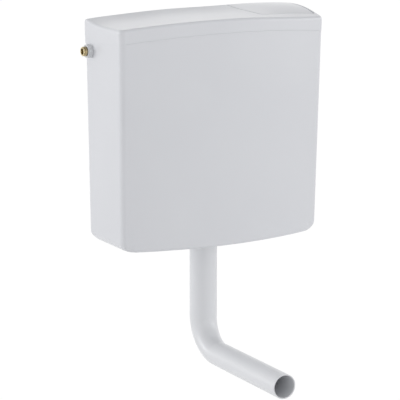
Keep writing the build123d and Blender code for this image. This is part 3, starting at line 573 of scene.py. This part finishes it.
# A screw thread is a ridge of diamond section wound round the turned piece, half sunk in it. The
# diamond reaches this share of a pitch to each side along the piece.
RIDGE_SHARE = 0.44
ridge = Pattern("thread", {"Root": 1.0, "Pitch": 1.0, "Depth": 1.0, "Length": 1.0,
                           "Start": Vector((0, 0, 0)), "Lean": Vector((0, 0, 0))})
winding = ridge.node("GeometryNodeCurveSpiral", None,
                     {"Resolution": STEPS_PER_TURN, "Rotations": ridge.size("Length") / ridge.size("Pitch"),
                      "Start Radius": ridge.size("Root"), "End Radius": ridge.size("Root"),
                      "Height": ridge.size("Length")})
upright = ridge.node("GeometryNodeSetCurveNormal", {"mode": "Z_UP"}, {"Curve": winding})
diamond = ridge.node("GeometryNodeCurvePrimitiveCircle", None, {"Resolution": 4, "Radius": 1.0})
section = ridge.node("ShaderNodeCombineXYZ", None,
                     {"X": ridge.size("Depth"), "Y": ridge.size("Pitch") * RIDGE_SHARE, "Z": 1.0})
crest = ridge.node("GeometryNodeTransform", None, {"Geometry": diamond, "Scale": section})
wound = ridge.node("GeometryNodeCurveToMesh", None,
                   {"Curve": upright, "Profile Curve": crest, "Fill Caps": True})
placed = ridge.node("GeometryNodeTransform", None,
                    {"Geometry": wound, "Translation": ridge.size("Start"), "Rotation": ridge.size("Lean")})
ridge.close(ridge.size("Geometry"), placed)


def threaded(piece, finish, start, along, root, crest_radius, pitch, length):
    """Winds a thread round a turned piece, from start and along its axis."""
    lean = UP.rotation_difference(along).to_euler()
    ridge.apply(piece, finish, Root=root, Pitch=pitch, Depth=crest_radius - root, Length=length,
                Start=tuple(start), Lean=tuple(lean))


low, high = map(Vector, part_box("inlet_nipple"))
nut_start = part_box("inlet_nut")[0][0]
nipple_start = Vector((low.x, (low.y + high.y) / 2, (low.z + high.z) / 2))
nipple_length = high.x - low.x
flange_end = nipple_length - TAIL_LENGTH
flange_start = flange_end - FLANGE_THICKNESS
nipple = turned("inlet_stub", nipple_start, RIGHT,
                [(0, BORE_RADIUS + RUN_OUT / 2), (0, ROOT_RADIUS - RUN_OUT / 2), (RUN_OUT / 2, ROOT_RADIUS),
                 (flange_start, ROOT_RADIUS), (flange_start, FLANGE_RADIUS), (flange_end, FLANGE_RADIUS),
                 (flange_end, THREAD_RADIUS), (nipple_length, THREAD_RADIUS), (nipple_length, BORE_RADIUS),
                 (RUN_OUT / 2, BORE_RADIUS)], closed=True)
soften(nipple, 0.15 * MM)
threaded(nipple, turned_brass, nipple_start + RIGHT * RUN_OUT, RIGHT, ROOT_RADIUS, THREAD_RADIUS,
         THREAD_PITCH, nut_start - low.x - RUN_OUT - RELIEF)
dress(nipple, turned_brass, "inlet_nipple")
for node in ("inlet_nut", "blanking_plug"):
    moulding(node, pale_fitting, radius=0.4 * MM)
sieve_plastic = moulded_plastic("sieve_plastic", deep=(0.70, 0.73, 0.74), pale=(0.78, 0.80, 0.81),
                                roughness=0.45)
moulding("inlet_filter", sieve_plastic, radius=0.1 * MM)

# Float valve: white moulded barrel with a screw cap and a down tube that leads the water quietly to
# the tank's floor. The float arm's heel presses the plunger in the cap.
for node in ("float_valve_body", "valve_cap", "down_tube", "plunger", "float_arm"):
    moulding(node, pale_fitting, radius=0.3 * MM)
moulding("arm_pin", drawn_steel, radius=0.15 * MM)

# Float: blow-moulded hollow block of plastic on a threaded brass rod. The rod passes through the
# float arm, and a thin nut above the arm and one below it hold it and set the float's height.
ROD_ROOT = 2.1 * MM
ROD_PITCH = 0.8 * MM
low, high = map(Vector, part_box("float_rod"))
rod_foot = foot_of(low, high)
rod_radius = (high.x - low.x) / 2
rod_length = high.z - low.z
rod = turned("float_rod_stem", rod_foot, UP,
             [(0, 0), (0, ROD_ROOT), (rod_length, ROD_ROOT), (rod_length, 0)])
soften(rod, 0.2 * MM)
threaded(rod, turned_brass, rod_foot + UP * (ROD_PITCH / 2), UP, ROD_ROOT, rod_radius, ROD_PITCH,
         rod_length - ROD_PITCH)
dress(rod, turned_brass, "float_rod")
moulding("float_block", pale_fitting, radius=0.4 * MM)
moulding("rod_nut", pale_fitting, radius=0.3 * MM)

# Lid and flush key: white mouldings like the tank. The key tilts on two short steel pins. The lid
# rests with its weight on the tank's rim, so its lower edge leaves only a very fine seam.
SETTLED = 0.15 * MM
moulding("lid", white_plastic, radius=0.2 * MM, settle=SETTLED)
moulding("flush_key", white_plastic, radius=0.3 * MM)
moulding("key_pins", drawn_steel, radius=0.15 * MM)

# Push stud: steel screw with a turned ball end, screwed into the boss under the key. Its ball
# presses the lever's short arm, and a plastic lock nut holds it at the length that is set.
STUD_ROOT = 2.5 * MM
STUD_PITCH = 1.0 * MM
STUD_RADIUS = 3 * MM
BALL_STEPS = 12
low, high = map(Vector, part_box("push_stud"))
stud_foot = foot_of(low, high)
stud_length = high.z - low.z
ball_radius = (high.x - low.x) / 2
ball_turn = math.pi - math.asin(STUD_ROOT / ball_radius)
ball_angles = [ball_turn * step / BALL_STEPS for step in range(BALL_STEPS + 1)]
ball = [(ball_radius - ball_radius * math.cos(angle), ball_radius * math.sin(angle))
        for angle in ball_angles]
stud = turned("push_stud_screw", stud_foot, UP, ball + [(stud_length, STUD_ROOT), (stud_length, 0)])
soften(stud, 0.2 * MM)
threaded(stud, drawn_steel, stud_foot + UP * (ball_radius * 2), UP, STUD_ROOT, STUD_RADIUS,
         STUD_PITCH, stud_length - ball_radius * 2 - STUD_PITCH)
dress(stud, drawn_steel, "push_stud")
moulding("stud_nut", pale_fitting, radius=0.3 * MM)

# Studio: a pale floor far below, which keeps the shadow, and white surroundings with a dim ceiling.
# The camera sees them white all round. As light they are bright near the horizon and dim overhead.
FLOOR_DROP = 0.36
FLOOR_SIZE = 12.0
FLOOR_TONE = (0.95, 0.95, 0.95, 1)
FLOOR_ROUGHNESS = 0.8
FLOOR_GLOW = 1.05
GLOW_SHARE = 0.9
WHITE = (1, 1, 1, 1)


def on_rays(bench, *kinds):
    """One for rays of these kinds, and nought for the rest."""
    total = 0.0
    for kind in kinds:
        total = bench.node("ShaderNodeLightPath", out=kind) + total
    return bench.node("ShaderNodeMath", {"operation": "MINIMUM"}, {0: total, 1: 1.0})


floor_mesh = bpy.data.meshes.new("floor")
floor_level = cad_box[0][2] - FLOOR_DROP
corners = [(x * FLOOR_SIZE, y * FLOOR_SIZE, floor_level) for x, y in ((-1, -1), (1, -1), (1, 1), (-1, 1))]
floor_mesh.from_pydata(corners, [], [(0, 1, 2, 3)])
floor = bpy.data.objects.new("floor", floor_mesh)
scene.collection.objects.link(floor)
floor_finish = Finish("pale_floor")
floor_finish.complete(FLOOR_TONE, FLOOR_ROUGHNESS)
glow = floor_finish.node("ShaderNodeEmission", None, {"Color": WHITE, "Strength": FLOOR_GLOW})
lit = Level(floor_finish, floor_finish.surface.outputs[0])
glow_share = on_rays(floor_finish, "Is Camera Ray", "Is Glossy Ray", "Is Transmission Ray") * GLOW_SHARE
mixed = floor_finish.node("ShaderNodeMixShader", None, {0: glow_share, 1: lit, 2: glow})
floor_finish.feed(floor_finish.tree.nodes["Material Output"].inputs["Surface"], mixed)
floor_mesh.materials.append(floor_finish.material)

HORIZON_LIGHT = 1.25
OVERHEAD_LIGHT = 0.68
HORIZON_END = 0.08
OVERHEAD_START = 0.40
WALL_GLOSS = 1.35
CEILING_GLOSS = 0.45
WALL_TOP = 0.38
CEILING_START = 0.55
world = bpy.data.worlds.new("studio")
scene.world = world
world.use_nodes = True
sky = Bench(world.node_tree)
sight = sky.node("ShaderNodeTexCoord", out="Generated")
height = sky.node("ShaderNodeSeparateXYZ", None, {0: sight}, out="Z")


def falling(value, start, end, first, last):
    """Glides from the first level to the last as the value goes from start to end."""
    return sky.node("ShaderNodeMapRange", {"interpolation_type": "SMOOTHSTEP"},
                    {"Value": value, "From Min": start, "From Max": end, "To Min": first, "To Max": last})


light = falling(height, HORIZON_END, OVERHEAD_START, HORIZON_LIGHT, OVERHEAD_LIGHT)
mirrored = falling(height, WALL_TOP, CEILING_START, WALL_GLOSS, CEILING_GLOSS)
on_gloss = on_rays(sky, "Is Glossy Ray")
watched = on_rays(sky, "Is Camera Ray", "Is Transmission Ray")
unseen = light * (1 - on_gloss) + mirrored * on_gloss
sky.feed(sky.tree.nodes["Background"].inputs["Strength"], watched + unseen * (1 - watched))
sky.feed(sky.tree.nodes["Background"].inputs["Color"], WHITE)


def soft_light(name, direction, strength, spread):
    """A far lamp in a direction, whose strength is the light that falls on a facing surface."""
    lamp = bpy.data.lights.new(name, "SUN")
    lamp.energy = strength * math.pi
    lamp.angle = math.radians(spread)
    holder = bpy.data.objects.new(name, lamp)
    holder.rotation_euler = Vector(direction).to_track_quat("Z", "Y").to_euler()
    scene.collection.objects.link(holder)


soft_light("left_light", direction=(-0.80, 0.60, 0.03), strength=0.28, spread=18)
soft_light("right_light", direction=(0.80, -0.55, 0.05), strength=0.20, spread=30)
